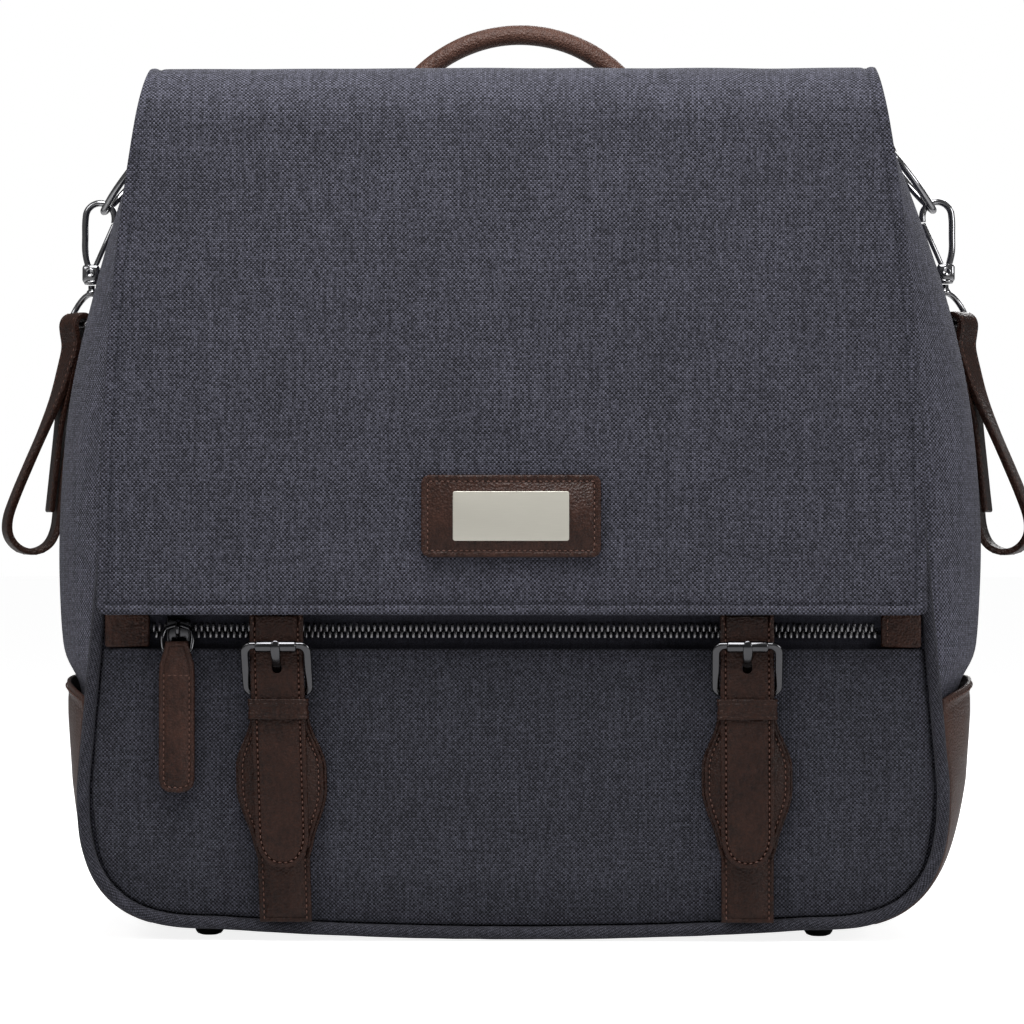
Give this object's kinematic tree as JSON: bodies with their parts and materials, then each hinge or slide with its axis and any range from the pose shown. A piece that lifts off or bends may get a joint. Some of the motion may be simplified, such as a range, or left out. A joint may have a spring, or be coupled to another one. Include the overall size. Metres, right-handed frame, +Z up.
{
  "type": "diaper bag",
  "caption": "Flap-over diaper bag of woven cloth with leather straps, prong buckles, a zipped front pocket, side pockets, a carrying handle and clip-on stroller loops.",
  "frame": {"origin": "on the floor under the middle of the bag's bounding box, at the height of the feet's undersides", "axes": "+Z up, +X along the bag's width to the right seen from the front, +Y from the front to the back"},
  "size_m": [0.4326, 0.1803, 0.3855],
  "materials": {
    "woven_cloth": "heathered navy and charcoal weave",
    "lining_cloth": "plain taupe lining",
    "dark_leather": "smooth dark brown with edge stitching",
    "gunmetal": "polished gunmetal plating",
    "brushed_plate": "brushed",
    "board": "matt black"
  },
  "bodies": {
    "bag": {"front_panel": "woven_cloth", "back_panel": "woven_cloth", "gusset_left": "woven_cloth", "gusset_right": "woven_cloth", "pocket_panel": "woven_cloth", "yoke_panel": "woven_cloth", "front_piping": "woven_cloth", "back_piping": "woven_cloth", "mouth_facing_front": "woven_cloth", "mouth_facing_back": "woven_cloth", "lining": "lining_cloth", "base_panel": "dark_leather", "base_board": "board", "pocket_zip_teeth": "gunmetal", "zip_end_tab_left": "dark_leather", "zip_end_tab_right": "dark_leather", "side_pocket_left": "dark_leather", "lower_strap_left": "dark_leather", "snap_stud_left": "brushed_plate", "handle_anchor_left": "dark_leather", "ring_tab_left": "dark_leather", "side_pocket_right": "dark_leather", "lower_strap_right": "dark_leather", "snap_stud_right": "brushed_plate", "handle_anchor_right": "dark_leather", "ring_tab_right": "dark_leather", "foot_front_left": "board", "foot_front_right": "board", "foot_back_left": "board", "foot_back_right": "board"},
    "flap_top": {"flap_top": "woven_cloth"},
    "flap_front": {"flap_front": "woven_cloth", "name_patch": "dark_leather", "name_plate": "brushed_plate"},
    "pocket_slider": {"pocket_zip_slider": "gunmetal"},
    "puller": {"pocket_puller_link": "gunmetal", "pocket_puller": "dark_leather"},
    "handle": {"handle": "dark_leather"},
    "closure_left": {"closure_strap_left": "dark_leather", "leaf_tab_left": "dark_leather", "strap_keeper_left": "dark_leather", "buckle_frame_left": "gunmetal"},
    "roller_left": {"buckle_roller_left": "gunmetal"},
    "prong_left": {"buckle_prong_left": "gunmetal"},
    "ring_left": {"side_ring_left": "gunmetal"},
    "hook_left": {"snap_hook_left": "gunmetal"},
    "gate_left": {"hook_gate_left": "gunmetal"},
    "swivel_left": {"swivel_eye_left": "gunmetal"},
    "loop_left": {"hand_loop_left": "dark_leather"},
    "closure_right": {"closure_strap_right": "dark_leather", "leaf_tab_right": "dark_leather", "strap_keeper_right": "dark_leather", "buckle_frame_right": "gunmetal"},
    "roller_right": {"buckle_roller_right": "gunmetal"},
    "prong_right": {"buckle_prong_right": "gunmetal"},
    "ring_right": {"side_ring_right": "gunmetal"},
    "hook_right": {"snap_hook_right": "gunmetal"},
    "gate_right": {"hook_gate_right": "gunmetal"},
    "swivel_right": {"swivel_eye_right": "gunmetal"},
    "loop_right": {"hand_loop_right": "dark_leather"}
  },
  "joints": [
    {"name": "flap_lift", "type": "hinge", "parent": "bag", "child": "flap_top", "pos_m": [0, 0.078, 0.351], "axis": [-1, 0, 0], "range_deg": [0, 85]},
    {"name": "flap_fold", "type": "hinge", "parent": "flap_top", "child": "flap_front", "pos_m": [0, -0.086, 0.32685], "axis": [-1, 0, 0], "range_deg": [0, 85]},
    {"name": "pocket_slide", "type": "slide", "parent": "bag", "child": "pocket_slider", "axis": [1, 0, 0], "range_m": [0, 0.015]},
    {"name": "puller_swing", "type": "hinge", "parent": "pocket_slider", "child": "puller", "pos_m": [-0.1338, -0.0726, 0.1256], "axis": [-1, 0, 0], "range_deg": [0, 85]},
    {"name": "handle_fold", "type": "hinge", "parent": "bag", "child": "handle", "pos_m": [0, 0.0853, 0.3314], "axis": [-1, 0, 0], "range_deg": [0, 95]},
    {"name": "closure_swing_left", "type": "hinge", "parent": "flap_front", "child": "closure_left", "pos_m": [-0.0936, -0.0809, 0.1332], "axis": [-1, 0, 0], "range_deg": [0, 60]},
    {"name": "roller_spin_left", "type": "hinge", "parent": "closure_left", "child": "roller_left", "pos_m": [-0.0936, -0.085, 0.1188], "axis": [1, 0, 0], "continuous": true},
    {"name": "prong_swing_left", "type": "hinge", "parent": "closure_left", "child": "prong_left", "pos_m": [-0.0936, -0.0776, 0.1], "axis": [1, 0, 0], "range_deg": [0, 20]},
    {"name": "ring_swing_left", "type": "hinge", "parent": "bag", "child": "ring_left", "pos_m": [-0.158, 0.038, 0.3244], "axis": [0, 1, 0], "range_deg": [0, 50]},
    {"name": "hook_swing_left", "type": "hinge", "parent": "ring_left", "child": "hook_left", "pos_m": [-0.1725, 0.038, 0.3008], "axis": [0, 1, 0], "range_deg": [0, 50]},
    {"name": "gate_press_left", "type": "hinge", "parent": "hook_left", "child": "gate_left", "pos_m": [-0.1754, 0.038, 0.2792], "axis": [0, -1, 0], "range_deg": [0, 22], "stiffness_Nm_per_rad": 0.02, "springref_deg": -11.46},
    {"name": "swivel_turn_left", "type": "hinge", "parent": "hook_left", "child": "swivel_left", "pos_m": [-0.1776, 0.038, 0.264], "axis": [0, 0, -1], "range_deg": [0, 20]},
    {"name": "loop_swing_left", "type": "hinge", "parent": "swivel_left", "child": "loop_left", "pos_m": [-0.18445, 0.03654, 0.252], "axis": [-0.2079, 0.9781, 0], "range_deg": [0, 40]},
    {"name": "closure_swing_right", "type": "hinge", "parent": "flap_front", "child": "closure_right", "pos_m": [0.0936, -0.0809, 0.1332], "axis": [-1, 0, 0], "range_deg": [0, 60]},
    {"name": "roller_spin_right", "type": "hinge", "parent": "closure_right", "child": "roller_right", "pos_m": [0.0936, -0.085, 0.1188], "axis": [1, 0, 0], "continuous": true},
    {"name": "prong_swing_right", "type": "hinge", "parent": "closure_right", "child": "prong_right", "pos_m": [0.0936, -0.0776, 0.1], "axis": [1, 0, 0], "range_deg": [0, 20]},
    {"name": "ring_swing_right", "type": "hinge", "parent": "bag", "child": "ring_right", "pos_m": [0.158, 0.038, 0.3244], "axis": [0, -1, 0], "range_deg": [0, 50]},
    {"name": "hook_swing_right", "type": "hinge", "parent": "ring_right", "child": "hook_right", "pos_m": [0.1725, 0.038, 0.3008], "axis": [0, -1, 0], "range_deg": [0, 50]},
    {"name": "gate_press_right", "type": "hinge", "parent": "hook_right", "child": "gate_right", "pos_m": [0.1754, 0.038, 0.2792], "axis": [0, 1, 0], "range_deg": [0, 22], "stiffness_Nm_per_rad": 0.02, "springref_deg": -11.46},
    {"name": "swivel_turn_right", "type": "hinge", "parent": "hook_right", "child": "swivel_right", "pos_m": [0.1776, 0.038, 0.264], "axis": [0, 0, 1], "range_deg": [0, 20]},
    {"name": "loop_swing_right", "type": "hinge", "parent": "swivel_right", "child": "loop_right", "pos_m": [0.18445, 0.03654, 0.252], "axis": [-0.2079, -0.9781, 0], "range_deg": [0, 40]}
  ]
}
